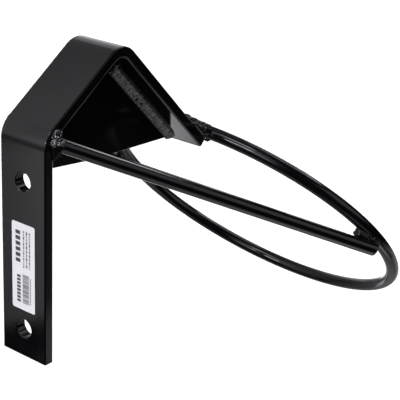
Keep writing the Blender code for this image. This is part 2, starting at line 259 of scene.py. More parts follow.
def add_ellipsoid(shape, centre, axes, sizes, detail=2):
    """A solid ellipsoid with the given half sizes along three perpendicular unit axes."""
    turn = Matrix(axes).transposed().to_4x4()
    grow = Matrix.Diagonal((*sizes, 1.0))
    bmesh.ops.create_icosphere(
        shape, subdivisions=detail, radius=1.0, matrix=Matrix.Translation(centre) @ turn @ grow)


def add_hull(shape, points):
    """The convex solid round some points."""
    verts = [shape.verts.new(point) for point in points]
    bmesh.ops.convex_hull(shape, input=verts, use_existing_faces=False)


def frame_of(direction, hint):
    """Three perpendicular unit axes: along a direction, near a hint, and across both."""
    along = direction.normalized()
    across = along.cross(hint).normalized()
    return along, across.cross(along).normalized(), across


def fuse(name, shape, voxel=WELD_VOXEL, rounds=2):
    """Melt overlapping solids into one skin of weld metal."""
    obj = new_object(name, shape)
    remesh = obj.modifiers.new("remesh", "REMESH")
    remesh.mode = "VOXEL"
    remesh.voxel_size = voxel
    relax = obj.modifiers.new("relax", "SMOOTH")
    relax.factor = 0.5
    relax.iterations = rounds
    apply_modifiers(obj)
    obj.data.shade_smooth()
    return obj


def roughen(obj, size, height, seed):
    """Push a mesh in and out by a smooth noise of some grain size and height."""
    shift = Vector((seed * 3.1, seed * 7.7, seed * 1.3))
    moves = []
    for vertex in obj.data.vertices:
        wave = noise.noise(vertex.co / size + shift)
        moves.append(vertex.normal * wave * height)
    for vertex, move in zip(obj.data.vertices, moves):
        vertex.co += move
    obj.data.update()
    return obj


# ---------------------------------------------------------------------------------------------
# Materials
# ---------------------------------------------------------------------------------------------

class Nodes:
    """Short hand for making and joining shader nodes."""

    def __init__(self, tree):
        self.tree = tree

    def add(self, kind, **settings):
        node = self.tree.nodes.new(kind)
        for key, value in settings.items():
            setattr(node, key, value)
        return node

    def put(self, socket, value):
        if isinstance(value, bpy.types.NodeSocket):
            self.tree.links.new(value, socket)
        else:
            socket.default_value = value

    def math(self, operation, *values, clamp=False):
        node = self.add("ShaderNodeMath", operation=operation, use_clamp=clamp)
        for socket, value in zip(node.inputs, values):
            self.put(socket, value)
        return node.outputs[0]

    def dot(self, place, axis):
        node = self.add("ShaderNodeVectorMath", operation="DOT_PRODUCT")
        self.put(node.inputs[0], place)
        self.put(node.inputs[1], axis)
        return node.outputs["Value"]

    def scatter(self, position, cycles, detail=2.0, roughness=0.5):
        """Noise from 0 to 1 with a number of cycles per metre."""
        node = self.add("ShaderNodeTexNoise")
        self.put(node.inputs["Vector"], position)
        self.put(node.inputs["Scale"], cycles)
        self.put(node.inputs["Detail"], detail)
        self.put(node.inputs["Roughness"], roughness)
        return node.outputs["Fac"]

    def span(self, value, low, high, to_low=0.0, to_high=1.0, smooth=True):
        """Map a range to another, with soft ends."""
        kind = "SMOOTHSTEP" if smooth else "LINEAR"
        node = self.add("ShaderNodeMapRange", interpolation_type=kind)
        for key, number in (("Value", value), ("From Min", low), ("From Max", high),
                            ("To Min", to_low), ("To Max", to_high)):
            self.put(node.inputs[key], number)
        return node.outputs["Result"]

    def blend(self, share, a, b):
        """Mix two colours."""
        node = self.add("ShaderNodeMix", data_type="RGBA")
        self.put(node.inputs["Factor"], share)
        self.put(node.inputs["A"], a)
        self.put(node.inputs["B"], b)
        return node.outputs["Result"]

    def bump(self, height, distance, strength, under=None):
        node = self.add("ShaderNodeBump")
        self.put(node.inputs["Height"], height)
        self.put(node.inputs["Distance"], distance)
        self.put(node.inputs["Strength"], strength)
        if under is not None:
            self.put(node.inputs["Normal"], under)
        return node.outputs["Normal"]


def start_material(name):
    material = bpy.data.materials.new(name)
    material.use_nodes = True
    nodes = Nodes(material.node_tree)
    shader = material.node_tree.nodes["Principled BSDF"]
    position = nodes.add("ShaderNodeTexCoord").outputs["Object"]
    return material, nodes, shader, position


COAT_BLACK = (0.0015, 0.0014, 0.0018, 1.0)
# colour of the dust specks and of the painted edge highlight
COAT_DUST_AND_SHEEN = (0.060, 0.060, 0.065, 1.0)
# whitish specks painted on the weld's crown as glints, standing in for highlights
PAINTED_GLINT_SPECKS = (0.42, 0.42, 0.45, 1.0)
PAINTED_GLINT_HEIGHT = 101.0 * MM        # painted glints only on the crown of the brace's start weld, above this height
PAPER_DARK = (0.53, 0.525, 0.55, 1.0)
PAPER_LIGHT = (0.57, 0.565, 0.59, 1.0)
INK_DARK = (0.012, 0.012, 0.016, 1.0)
INK_FADED = (0.05, 0.05, 0.06, 1.0)


def black_coat(name, roughness, peel, mottle, glints_above=None):
    """Black powder coat: orange peel, slow unevenness, worn edges with a painted highlight, and a
    little dust.

    peel and mottle are the heights of its coarse and fine bumps. A weld can also have whitish
    specks above some height: painted glints that stand in for highlights.
    """
    material, nodes, shader, position = start_material(name)
    slow = nodes.scatter(position, 35.0, 3.0)
    fine = nodes.scatter(position, 900.0, 2.0)
    specks = nodes.scatter(position, 1700.0, 1.0)
    speck = nodes.span(specks, 0.72, 0.78)
    # convex edges paler and rougher: partly worn coat, partly a painted edge highlight
    edge_wear_and_sheen_mask = nodes.span(nodes.add("ShaderNodeNewGeometry").outputs["Pointiness"], 0.54, 0.60)
    edge_wear_and_sheen = nodes.math("MULTIPLY", edge_wear_and_sheen_mask, nodes.span(nodes.scatter(position, 260.0), 0.45, 0.65))
    settled = nodes.math("MULTIPLY", speck, nodes.span(slow, 0.45, 0.7))
    # paler marks: dust specks and the painted edge highlight
    pale = nodes.math("MAXIMUM", nodes.math("MULTIPLY", edge_wear_and_sheen, 0.5), settled)
    paint = nodes.blend(pale, COAT_BLACK, COAT_DUST_AND_SHEEN)
    # painted glints: whitish specks above a height, standing in for highlights on the crown
    if glints_above is not None:
        height = nodes.add("ShaderNodeSeparateXYZ")
        nodes.put(height.inputs[0], position)
        high = nodes.span(height.outputs["Z"], glints_above - 1.0 * MM, glints_above + 2.0 * MM)
        drop = nodes.span(nodes.scatter(position, 620.0, 3.0, 0.7), 0.53, 0.64)
        paint = nodes.blend(nodes.math("MULTIPLY", high, drop), paint, PAINTED_GLINT_SPECKS)
    nodes.put(shader.inputs["Base Color"], paint)
    uneven = nodes.span(slow, 0.3, 0.7, roughness - 0.02, roughness + 0.03)
    grain = nodes.span(fine, 0.3, 0.7, 0.0, 0.02)
    rough = nodes.math("ADD", nodes.math("ADD", uneven, grain), nodes.math("MULTIPLY", pale, 0.2))
    nodes.put(shader.inputs["Roughness"], rough)
    nodes.put(shader.inputs["IOR"], 1.5)
    swell = nodes.bump(slow, 0.00025, 0.35)
    orange_peel = nodes.bump(nodes.scatter(position, 420.0, 2.0), peel, 0.5, swell)
    grainy = nodes.bump(fine, mottle, 0.5, orange_peel)
    nodes.put(shader.inputs["Normal"], grainy)
    return material


def paper(name):
    """White sticker: faint tint, fibres and slight wrinkles."""
    material, nodes, shader, position = start_material(name)
    slow = nodes.scatter(position, 60.0, 3.0)
    fibre = nodes.scatter(position, 1500.0, 3.0)
    white = nodes.blend(slow, PAPER_DARK, PAPER_LIGHT)
    nodes.put(shader.inputs["Base Color"], white)
    nodes.put(shader.inputs["Roughness"], nodes.span(fibre, 0.3, 0.7, 0.42, 0.55))
    wrinkles = nodes.bump(slow, 0.0003, 0.25)
    nodes.put(shader.inputs["Normal"], nodes.bump(fibre, 0.00002, 0.3, wrinkles))
    return material


def ink(name):
    """Thermal print: dark grey, slightly patchy."""
    material, nodes, shader, position = start_material(name)
    patchy = nodes.span(nodes.scatter(position, 1400.0, 2.0), 0.35, 0.75)
    dark = nodes.blend(patchy, INK_DARK, INK_FADED)
    nodes.put(shader.inputs["Base Color"], dark)
    nodes.put(shader.inputs["Roughness"], nodes.span(patchy, 0.0, 1.0, 0.45, 0.6))
    nodes.put(shader.inputs["Normal"], nodes.bump(patchy, 0.00001, 0.3))
    return material


coat = black_coat("black_powder_coat", roughness=0.07, peel=0.010 * MM, mottle=0.002 * MM)
weld_coat = black_coat("black_coated_weld", roughness=0.17, peel=0.03 * MM, mottle=0.006 * MM)
# the crown's coat carries painted glints above a height
glinting_crown_coat = black_coat("black_coated_crown_painted_glints", roughness=0.14, peel=0.03 * MM, mottle=0.006 * MM,
                        glints_above=PAINTED_GLINT_HEIGHT)
sticker = paper("white_label")
print_ink = ink("label_ink")


def present(obj, material, slot, *nodes):
    """Give a finished piece its material and its place in the frame."""
    obj.data.materials.clear()
    obj.data.materials.append(material)
    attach(obj, "root")
    if nodes:
        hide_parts(*nodes)
    return obj


# ---------------------------------------------------------------------------------------------
# Bent flat bar
# ---------------------------------------------------------------------------------------------

def bar_stations():
    """(outer point, inward direction, distance along, inside a bend) down the whole bar."""
    outer_radius = BEND_INNER_RADIUS + BAR_THICKNESS
    turns = [before.angle(after) for before, after in zip(RUNS, RUNS[1:])]
    trims = [0.0] + [outer_radius * tan(turn / 2.0) for turn in turns] + [0.0]
    stations = []
    travelled = 0.0
    for i, run in enumerate(RUNS):
        start = corners[i] + run * trims[i]
        length = (corners[i + 1] - corners[i]).length - trims[i] - trims[i + 1]
        steps = round(length / STATION_STEP)
        for k in range(steps + 1):
            there = length * k / steps
            stations.append((start + run * there, inward(run), travelled + there))
        travelled += length
        if i < len(turns):
            centre = start + run * length + inward(run) * outer_radius
            for k in range(1, BEND_STEPS):
                swept = turns[i] * k / BEND_STEPS
                across = Matrix.Rotation(-swept, 2) @ inward(run)
                stations.append((centre - across * outer_radius, across,
                                 travelled + outer_radius * swept))
            travelled += outer_radius * turns[i]
    return stations


def bend_spans():
    """(start, end) of each bend, as distances along the bar's outer face."""
    outer_radius = BEND_INNER_RADIUS + BAR_THICKNESS
    spans = []
    travelled = 0.0
    trim_before = 0.0
    for i, (run, after) in enumerate(zip(RUNS, RUNS[1:])):
        turn = run.angle(after)
        trim = outer_radius * tan(turn / 2.0)
        travelled += (corners[i + 1] - corners[i]).length - trim_before - trim
        spans.append((travelled, travelled + outer_radius * turn))
        travelled += outer_radius * turn
        trim_before = trim
    return spans


def bulge_at(distance, spans):
    """How far a bend swells the bar there, from 0 to 1."""
    swell = 0.0
    for start, end in spans:
        outside = max(start - distance, distance - end, 0.0) / BULGE_REACH
        swell = max(swell, 0.5 + 0.5 * cos(pi * min(outside, 1.0)))
    return swell


def bar_section():
    """The bar's rounded section, as (share of half width, depth from the outer face)."""
    outer, inner = BAR_EDGE_RADIUS, BAR_INNER_EDGE_RADIUS
    points = []
    for r, y_sign, depth, first in ((outer, 1.0, outer, -pi / 2.0),
                                    (inner, 1.0, BAR_THICKNESS - inner, 0.0),
                                    (inner, -1.0, BAR_THICKNESS - inner, pi / 2.0),
                                    (outer, -1.0, outer, pi)):
        for k in range(EDGE_STEPS + 1):
            a = first + pi / 2.0 * k / EDGE_STEPS
            points.append((y_sign * (HALF_WIDTH - r) + r * cos(a), depth + r * sin(a)))
    return points


def hole_cutter(z):
    """A turned cutter with a small chamfer at each mouth, lying along X."""
    beyond = 2.0 * MM
    wide = HOLE_RADIUS + HOLE_CHAMFER + beyond
    profile = [(wide, -beyond), (HOLE_RADIUS, HOLE_CHAMFER),
               (HOLE_RADIUS, BAR_THICKNESS - HOLE_CHAMFER), (wide, BAR_THICKNESS + beyond)]
    place = Matrix.Translation((0.0, 0.0, z)) @ Matrix.Rotation(pi / 2.0, 4, "Y")
    return turned("hole_cutter", profile, HOLE_SEGMENTS, place)


def make_bar():
    """The bent bar, swept along its stations, with its two bolt holes."""
    spans = bend_spans()
    section = bar_section()
    rings = []
    for outer, across, distance in bar_stations():
        swell = bulge_at(distance, spans) * BEND_BULGE / HALF_WIDTH
        ring = []
        for y, depth in section:
            wider = 1.0 + swell * depth / BAR_THICKNESS
            ring.append(in_3d(outer + across * depth, y * wider))
        rings.append(ring)
    shape = bmesh.new()
    tube(shape, rings)
    bar = new_object("flat_bar", shape)
    ease = bar.modifiers.new("ease_ends", "BEVEL")
    ease.width = BAR_END_BREAK
    ease.segments = 2
    ease.limit_method = "ANGLE"
    ease.angle_limit = radians(60.0)
    apply_modifiers(bar)
    cutters = [hole_cutter(HOLE_SPACING / 2.0), hole_cutter(-HOLE_SPACING / 2.0)]
    for cutter in cutters:
        cut = bar.modifiers.new("hole", "BOOLEAN")
        cut.operation = "DIFFERENCE"
        cut.solver = "EXACT"
        cut.object = cutter
    apply_modifiers(bar)
    for cutter in cutters:
        bpy.data.objects.remove(cutter, do_unlink=True)
    shade(bar)
    return present(bar, coat, "black_powder_coat", "bracket_bar")


# ---------------------------------------------------------------------------------------------
# Gusset, hoop and braces
# ---------------------------------------------------------------------------------------------

def make_gusset():
    """The plate under the two bends, with two snipped corners."""
    clearance = BAR_THICKNESS + GAP
    low = inner_corner(lower_bend, UP, DIAGONAL, clearance)
    high = inner_corner(upper_bend, DIAGONAL, DROP, clearance)
    front_run = (GUSSET_LOWER_FRONT_Z - high.y) / DROP.y
    outline = [
        Vector((clearance, GUSSET_LOWER_BACK_Z)),
        low - UP * GUSSET_SNIP_AT_LOWER_BEND,
        low + DIAGONAL * GUSSET_SNIP_AT_LOWER_BEND,
        high - DIAGONAL * GUSSET_SNIP_AT_UPPER_BEND,
        high + DROP * GUSSET_SNIP_AT_UPPER_BEND,
        high + DROP * front_run,
        GUSSET_LOWER_KNEE,
    ]
    shape = bmesh.new()
    faces = [[in_3d(point, y) for point in outline] for y in (gusset_low.y, gusset_high.y)]
    tube(shape, faces)
    gusset = new_object("gusset", shape)
    ease = gusset.modifiers.new("ease_edges", "BEVEL")
    ease.width = GUSSET_EDGE
    ease.segments = 3
    ease.limit_method = "ANGLE"
    ease.angle_limit = radians(15.0)
    apply_modifiers(gusset)
    shade(gusset)
    return present(gusset, coat, "black_powder_coat", "gusset_plate")


def make_hoop():
    """The rolled ring, with the raised seam where its ends were welded together."""
    rings = []
    for i in range(HOOP_SEGMENTS):
        angle = 2.0 * pi * i / HOOP_SEGMENTS
        outward = hoop_outward(angle)
        from_seam = abs((angle - SEAM_ANGLE + pi) % (2.0 * pi) - pi) * HOOP_RADIUS
        seam = max(0.0, 1.0 - (from_seam / SEAM_WIDTH) ** 2)
        ring = []
        for k in range(HOOP_SIDES):
            around = 2.0 * pi * k / HOOP_SIDES
            direction = outward * cos(around) + HOOP_NORMAL * sin(around)
            place = hoop_point(angle) + direction * ROD_RADIUS
            lumpy = 0.55 + 0.9 * noise.noise(place / (3.0 * MM))
            ring.append(place + direction * SEAM_HEIGHT * seam * lumpy)
        rings.append(ring)
    shape = bmesh.new()
    tube(shape, rings, closed=True)
    hoop = new_object("hoop", shape)
    hoop.data.shade_smooth()
    return present(hoop, coat, "black_powder_coat", "hoop_ring")


def make_braces():
    """The two straight rods that carry the hoop's sides."""
    for word, side in SIDES:
        start, end = mirrored(BRACE_START, side), mirrored(BRACE_END, side)
        root = start - (end - start).normalized() * BRACE_ROOT
        brace = rounded_rod("brace_" + word, root, end, ROD_RADIUS, BRACE_END_ROUND)
        shade(brace, radians(60.0))
        present(brace, coat, "black_powder_coat", "brace_rod_" + word)


# ---------------------------------------------------------------------------------------------
# Welds
# ---------------------------------------------------------------------------------------------

DIME_PITCH = 2.0 * MM              # one frozen ripple of a fillet after another
DRIFT_LENGTH = 6.0 * MM            # how far along before the fillet's edge wanders again
# Where the gusset's fillets begin and end, measured along each run from its inner corner
DROP_BEAD = (32.0 * MM, 144.5 * MM)
DIAGONAL_BEAD = (20.0 * MM, 66.0 * MM)
UPRIGHT_BEAD = (14.0 * MM, 26.0 * MM)
# Gas pits in the drop leg's fillet, as (distance along the run, depth below the bar)
DROP_PITS = ((76.9 * MM, 3.9 * MM), (84.2 * MM, 3.5 * MM), (34.2 * MM, 5.6 * MM))
PIT_RADIUS = 1.5 * MM
PIT_DEPTH = 1.1 * MM
# Lumps at that fillet's two ends, as (along the run, out from the plate, down, size) in millimetres
DROP_END_LUMPS = ((30.0, 4.0, 2.6, 4.2), (26.5, 7.0, 1.4, 4.4), (23.0, 9.5, 0.6, 4.0),
                  (29.0, 8.0, 1.0, 3.4), (144.5, 1.6, 2.0, 2.6), (145.0, -1.0, 1.2, 2.4))
# The upper hoop bead's laps over the bar's edges, measured down the drop leg
LAP_START = 137.0 * MM
LAP_FINISH = 152.0 * MM
LAP_STEPS = 6
LAP_RISE = 1.0 * MM
LAP_OUT = 0.5 * MM
# Outline of the brace's start weld, seen from the side, as (x, z) in millimetres
WEB_OUTLINE = ((8.6, 88.2), (15.6, 92.0), (15.6, 100.6), (12.0, 104.0), (5.6, 103.0))
CROWN_OUTLINE = ((18.6, 103.0), (16.0, 112.6), (12.6, 114.2), (7.6, 109.2), (5.4, 102.7),
                 (12.0, 99.0))
WEB_PROUD = 3.4 * MM               # how far it stands out from the bar's side
WEB_DEEP = 7.0 * MM                # how far it reaches in from that side
WEB_TUCK = 2.6 * MM                # its lowest point is tucked in towards the bar
CROWN_TUCK = 1.2 * MM
RIM_POINTS = 24
SPATTER_DROPS = 120
# The brace's end weld: where it begins along the brace, before its cut end, and how long it is
CROTCH_START = 26.5 * MM
CROTCH_LENGTH = 29.5 * MM
CROTCH_STEPS = 13
CROTCH_SIZE = 5.2 * MM


def fillet_weld(name, corner, run, begin, finish, wall_a, wall_b, leg_a, leg_b, seed,
                extra=None):
    """A flat fillet of fine ripples along a corner; wall_a and wall_b lead away from it."""
    rng = Random(seed)
    shape = bmesh.new()
    across = (wall_a * leg_a - wall_b * leg_b).normalized()
    proud = (wall_a * leg_b + wall_b * leg_a).normalized()
    sink = -(wall_a + wall_b) * 0.8 * MM
    tip_a, tip_b = wall_a * leg_a * 0.94, wall_b * leg_b * 0.88
    ends = []
    for there in (begin, finish):
        base = corner + run * there
        ends += [base + sink, base + tip_a - wall_b * 0.8 * MM, base + tip_b - wall_a * 0.8 * MM,
                 base + tip_a, base + tip_b]
    add_hull(shape, ends)
    half_face = (tip_a - tip_b).length / 2.0
    there = begin
    while there < finish:
        drift = noise.noise(Vector((there / DRIFT_LENGTH, seed, 0.0)))
        slide = (rng.uniform(-0.3, 0.1) + 0.7 * drift) * MM
        centre = corner + run * there + (tip_a + tip_b) / 2.0 + across * slide
        sizes = (rng.uniform(1.5, 2.2) * MM, half_face * rng.uniform(0.88, 1.0),
                 rng.uniform(0.20, 0.45) * MM)
        lean = (proud + run * rng.uniform(-0.15, 0.05)).normalized()
        add_ellipsoid(shape, centre, frame_of(run, across)[:2] + (lean,), sizes)
        there += DIME_PITCH * rng.uniform(0.75, 1.2)
    if extra is not None:
        extra(shape, rng)
    return roughen(fuse(name, shape), 2.4 * MM, 0.28 * MM, seed)


def pit(obj, place, radius, depth):
    """Press a small round crater into a weld."""
    for vertex in obj.data.vertices:
        away = (vertex.co - place).length / radius
        if away < 1.0:
            vertex.co -= vertex.normal * depth * (0.5 + 0.5 * cos(pi * away))
    obj.data.update()


def make_gusset_welds():
    """Fillets along the gusset's edges, on both of its faces."""
    into_drop = in_3d(inward(DROP))
    into_diagonal = in_3d(inward(DIAGONAL))
    into_upright = in_3d(inward(UP))
    runs = (
        ("drop", upper_inner, in_3d(DROP), DROP_BEAD, into_drop, 7.4 * MM, 6.8 * MM),
        ("diagonal", lower_inner, in_3d(DIAGONAL), DIAGONAL_BEAD, into_diagonal, 5.0 * MM,
         5.2 * MM),
        ("upright", lower_inner, -in_3d(UP), UPRIGHT_BEAD, into_upright, 5.0 * MM, 5.2 * MM),
    )
    seed = 11
    for stretch, corner, run, (begin, finish), away, leg_bar, leg_plate in runs:
        for word, side in SIDES:
            y = gusset_high.y if side > 0.0 else gusset_low.y
            sideways = Vector((0.0, side, 0.0))
            origin = in_3d(corner, y)
            extra = drop_weld_ends(origin, run, sideways, away) if stretch == "drop" else None
            weld = fillet_weld(f"gusset_bead_{stretch}_{word}", origin, run, begin, finish,
                               sideways, away, leg_bar, leg_plate, seed, extra)
            if stretch == "drop":
                for there, down in DROP_PITS:
                    out = leg_bar * (1.0 - down / leg_plate)
                    pit(weld, origin + run * there + away * down + sideways * out,
                        PIT_RADIUS, PIT_DEPTH)
            present(weld, weld_coat, "black_coated_weld", f"weld_gusset_{stretch}_{word}")
            seed += 1


def drop_weld_ends(origin, run, sideways, away):
    """Build-up at the top of the drop leg's bead, and its wrap round the plate's lower corner."""

    def build(shape, rng):
        for there, out, down, size in DROP_END_LUMPS:
            centre = origin + run * there * MM + sideways * out * MM + away * down * MM
            axes = frame_of(run, away)
            flatter = rng.uniform(0.5, 0.65)
            add_ellipsoid(shape, centre, axes, (size * MM, size * flatter * MM, size * MM))

    return build


def hoop_bead_points(outward, off_plane, reach, steps):
    """(point, share of the way to the bead's end) along the hoop, across the bar's end."""
    points = []
    for i in range(steps + 1):
        y = reach * (2.0 * i / steps - 1.0)
        angle = pi - asin(y / HOOP_RADIUS)
        place = hoop_point(angle) + hoop_outward(angle) * outward + HOOP_NORMAL * off_plane
        points.append((place, abs(y) / reach))
    return points


def hoop_weld(name, node, outward, off_plane, reach, middle, end, ripple, seed, laps=()):
    """A rough bead between the hoop's rod and the end of the drop leg.

    It follows the hoop at some distance outward and off the hoop's plane, as far as reach to each
    side, and its half size goes from middle to end.
    """
    rng = Random(seed)
    shape = bmesh.new()
    for place, share in hoop_bead_points(outward, off_plane, reach, 26):
        size = end + (middle - end) * (1.0 - share) ** 3
        size *= rng.uniform(0.95, 1.04)
        shift = Vector([rng.uniform(-0.3, 0.3) * MM for _ in range(3)])
        axes = frame_of(HOOP_CROSS_AXIS, HOOP_NORMAL)
        add_ellipsoid(shape, place + shift, axes, (size * 0.8, size, size))
    for place, share in hoop_bead_points(outward, off_plane, reach, 9):
        size = end + (middle - end) * (1.0 - share) ** 3
        turn = rng.uniform(0.0, 2.0 * pi)
        aim = HOOP_NORMAL * cos(turn) + HOOP_LONG_AXIS * sin(turn)
        add_ellipsoid(shape, place + aim * size * 0.75, frame_of(HOOP_CROSS_AXIS, aim),
                      (2.4 * MM, 1.2 * MM, 2.0 * MM))
    for place in laps:
        size = rng.uniform(1.8, 2.4) * MM
        add_ellipsoid(shape, place, frame_of(in_3d(DROP), HOOP_NORMAL), (2.6 * MM, size, size))
    weld = roughen(fuse(name, shape, 0.4 * MM, 3), 3.2 * MM, ripple, seed)
    return present(weld, weld_coat, "black_coated_weld", node)


def upper_laps():
    """Places where the upper bead laps over the two long edges of the bar."""
    places = []
    for _, side in SIDES:
        for step in range(LAP_STEPS + 1):
            down = upper_bend + DROP * (LAP_START + (LAP_FINISH - LAP_START) * step / LAP_STEPS)
            places.append(in_3d(down - inward(DROP) * LAP_RISE, side * (HALF_WIDTH + LAP_OUT)))
    return places


def make_hoop_welds():
    """The bead above the hoop's rod, on the bar's face, and the one below it, on its cut end."""
    hoop_weld("hoop_bead_upper", "weld_hoop_upper", outward=6.5 * MM, off_plane=-0.6 * MM,
              reach=25.0 * MM, middle=8.4 * MM, end=6.0 * MM, ripple=0.2 * MM, seed=31,
              laps=upper_laps())
    hoop_weld("hoop_bead_lower", "weld_hoop_lower", outward=-2.6 * MM, off_plane=-6.9 * MM,
              reach=25.5 * MM, middle=3.2 * MM, end=1.5 * MM, ripple=0.35 * MM, seed=32)


def brace_rim(side):
    """Points round the near end of a brace, just inside its weld."""
    start, end = mirrored(BRACE_START, side), mirrored(BRACE_END, side)
    run, across, up = frame_of(end - start, Vector((0.0, 0.0, 1.0)))
    root = start - run * (BRACE_ROOT - 0.8 * MM)
    angles = [2.0 * pi * k / RIM_POINTS for k in range(RIM_POINTS)]
    return [root + (across * cos(a) + up * sin(a)) * (ROD_RADIUS - 0.3 * MM) for a in angles]


def make_brace_start_welds():
    """A smooth web under each brace and a spattered crown with painted glints over its end, inside
    the bend.
    """
    for seed, (word, side) in enumerate(SIDES, start=41):
        rng = Random(seed)
        shape = bmesh.new()
        near, far = HALF_WIDTH + WEB_PROUD, HALF_WIDTH - WEB_DEEP
        web = [Vector((x * MM, y * side, z * MM)) for x, z in WEB_OUTLINE for y in (near, far)]
        web[0].y = (near - WEB_TUCK) * side
        add_hull(shape, web)
        add_hull(shape, web[:2] + web[-2:] + brace_rim(side))
        crown = [Vector((x * MM, y * side, z * MM)) for x, z in CROWN_OUTLINE
                 for y in (near - CROWN_TUCK, far)]
        add_hull(shape, crown)
        add_spatter(shape, side, near, rng)
        weld = fuse("brace_start_bead_" + word, shape, 0.30 * MM, 1)
        present(weld, glinting_crown_coat, "black_coated_weld", "weld_brace_bar_" + word)


def add_spatter(shape, side, near, rng):
    """Small drops all over the crown."""
    axes = (Vector((1.0, 0.0, 0.0)), Vector((0.0, 1.0, 0.0)), Vector((0.0, 0.0, 1.0)))
    middle = sum((Vector(p) for p in CROWN_OUTLINE), Vector((0.0, 0.0))) / len(CROWN_OUTLINE)
    for _ in range(SPATTER_DROPS):
        x, z = Vector(rng.choice(CROWN_OUTLINE)).lerp(middle, rng.uniform(0.10, 1.0))
        y = near - rng.uniform(0.0, 1.8) * MM
        size = rng.uniform(0.5, 1.2) * MM
        centre = Vector(((x + rng.uniform(-1.0, 1.0)) * MM, y * side,
                         (z + rng.uniform(-1.0, 1.0)) * MM))
        add_ellipsoid(shape, centre, axes, (size, size * 0.8, size), detail=1)


def make_brace_end_welds():
    """Lumpy welds in the crotch between each brace and the hoop."""
    for seed, (word, side) in enumerate(SIDES, start=51):
        rng = Random(seed)
        start, end = mirrored(BRACE_START, side), mirrored(BRACE_END, side)
        run = (end - start).normalized()
        shape = bmesh.new()
        for i in range(CROTCH_STEPS + 1):
            past_end = -CROTCH_START + CROTCH_LENGTH * i / CROTCH_STEPS
            on_brace = end + run * past_end
            on_hoop = hoop_point(hoop_angle(on_brace))
            between = (on_hoop - on_brace).normalized()
            centre = (on_brace + on_hoop) / 2.0
            size = CROTCH_SIZE * rng.uniform(0.92, 1.08)
            shift = Vector([rng.uniform(-0.6, 0.6) * MM for _ in range(3)])
            add_ellipsoid(shape, centre + shift, frame_of(run, between),
                          (2.6 * MM, size * 1.15, size))
            bump = run.cross(between) * size * rng.choice((-0.8, 0.8))
            add_ellipsoid(shape, centre + bump, frame_of(run, between),
                          (1.8 * MM, 2.6 * MM, 1.5 * MM))
        weld = roughen(fuse("brace_end_bead_" + word, shape, 0.4 * MM), 2.4 * MM, 0.4 * MM, seed)
        present(weld, weld_coat, "black_coated_weld", "weld_brace_hoop_" + word)


# ---------------------------------------------------------------------------------------------
# Label
# ---------------------------------------------------------------------------------------------

LABEL_CORNER = 2.0 * MM
LABEL_CORNER_STEPS = 6
PRINT_HEIGHT = 0.02 * MM


def make_label():
    """A thin sticker with rounded corners."""
    outline = []
    inset = LABEL_CORNER
    for y, z, first in ((label_high.y - inset, label_low.z + inset, -pi / 2.0),
                        (label_high.y - inset, label_high.z - inset, 0.0),
                        (label_low.y + inset, label_high.z - inset, pi / 2.0),
                        (label_low.y + inset, label_low.z + inset, pi)):
        for k in range(LABEL_CORNER_STEPS + 1):
            a = first + pi / 2.0 * k / LABEL_CORNER_STEPS
            outline.append((y + inset * cos(a), z + inset * sin(a)))
    front = label_low.x + PRINT_HEIGHT
    shape = bmesh.new()
    tube(shape, [[Vector((x, y, z)) for y, z in outline] for x in (front, label_high.x)])
    sheet = new_object("sticker", shape)
    shade(sheet)
    return present(sheet, sticker, "white_label", "label")


def add_stripe(shape, left, right, top, bottom):
    """A printed bar, given as shares of the label's width from its left and height from its top."""
    wide = label_high.y - label_low.y
    tall = label_high.z - label_low.z
    y0, y1 = label_high.y - left * wide, label_high.y - right * wide
    z0, z1 = label_high.z - top * tall, label_high.z - bottom * tall
    front, back = label_low.x, label_low.x + PRINT_HEIGHT * 1.5
    rings = [[Vector((x, y, z)) for y, z in ((y0, z0), (y1, z0), (y1, z1), (y0, z1))]
             for x in (front, back)]
    tube(shape, rings)


def make_print():
    """Generic print without any lettering: blocks, broken rules and a row of stripes."""
    rng = Random(7)
    shape = bmesh.new()
    block = 0.09
    while block < 0.46:
        add_stripe(shape, 0.16, 0.37, block, block + 0.043)
        block += 0.064
    for left in (0.49, 0.62, 0.75):
        there = 0.08
        while there < 0.49:
            length = rng.uniform(0.012, 0.045)
            add_stripe(shape, left, left + 0.055, there, min(there + length, 0.50))
            there += length + 0.012
    word = 0.60
    while word < 0.90:
        add_stripe(shape, 0.21, 0.37, word, word + 0.030)
        word += 0.041
    there = 0.58
    while there < 0.91:
        length = rng.choice((0.006, 0.009, 0.014))
        add_stripe(shape, 0.46, 0.74, there, there + length)
        there += length + rng.choice((0.004, 0.006, 0.008))
    there = 0.60
    while there < 0.90:
        add_stripe(shape, 0.78, 0.83, there, there + 0.016)
        there += 0.026
    marks = new_object("sticker_print", shape)
    return present(marks, print_ink, "white_label")


# ---------------------------------------------------------------------------------------------
# Studio
# ---------------------------------------------------------------------------------------------

FLOOR_DROP = 0.30                  # floor below the lowest point of the hoop
FLOOR_SIZE = 60.0
DOME_RADIUS = 12.0


def only_glow(material, colour, strength):
    """Make a material a plain emitter."""
    tree = material.node_tree
    nodes = Nodes(tree)
    tree.nodes.remove(tree.nodes["Principled BSDF"])
    glow = nodes.add("ShaderNodeEmission")
    nodes.put(glow.inputs["Color"], colour)
    nodes.put(glow.inputs["Strength"], strength)
    nodes.put(tree.nodes["Material Output"].inputs["Surface"], glow.outputs["Emission"])


def make_floor():
    """A large plain pale floor, seen by the camera and left out of the reflections."""
    bpy.ops.mesh.primitive_plane_add(size=FLOOR_SIZE, location=(0.0, 0.0, cad_low.z - FLOOR_DROP))
    floor = bpy.context.object
    floor.name = "floor"
    material, nodes, shader, position = start_material("floor_white")
    tone = nodes.span(nodes.scatter(position, 0.4), 0.3, 0.7, 0.93, 0.95)
    grey = nodes.add("ShaderNodeCombineColor")
    for channel in ("Red", "Green", "Blue"):
        nodes.put(grey.inputs[channel], tone)
    nodes.put(shader.inputs["Base Color"], grey.outputs["Color"])
    nodes.put(shader.inputs["Roughness"], 0.9)
    nodes.put(shader.inputs["Specular IOR Level"], 0.1)
    floor.data.materials.append(material)
    floor.visible_glossy = False
    floor.visible_diffuse = False


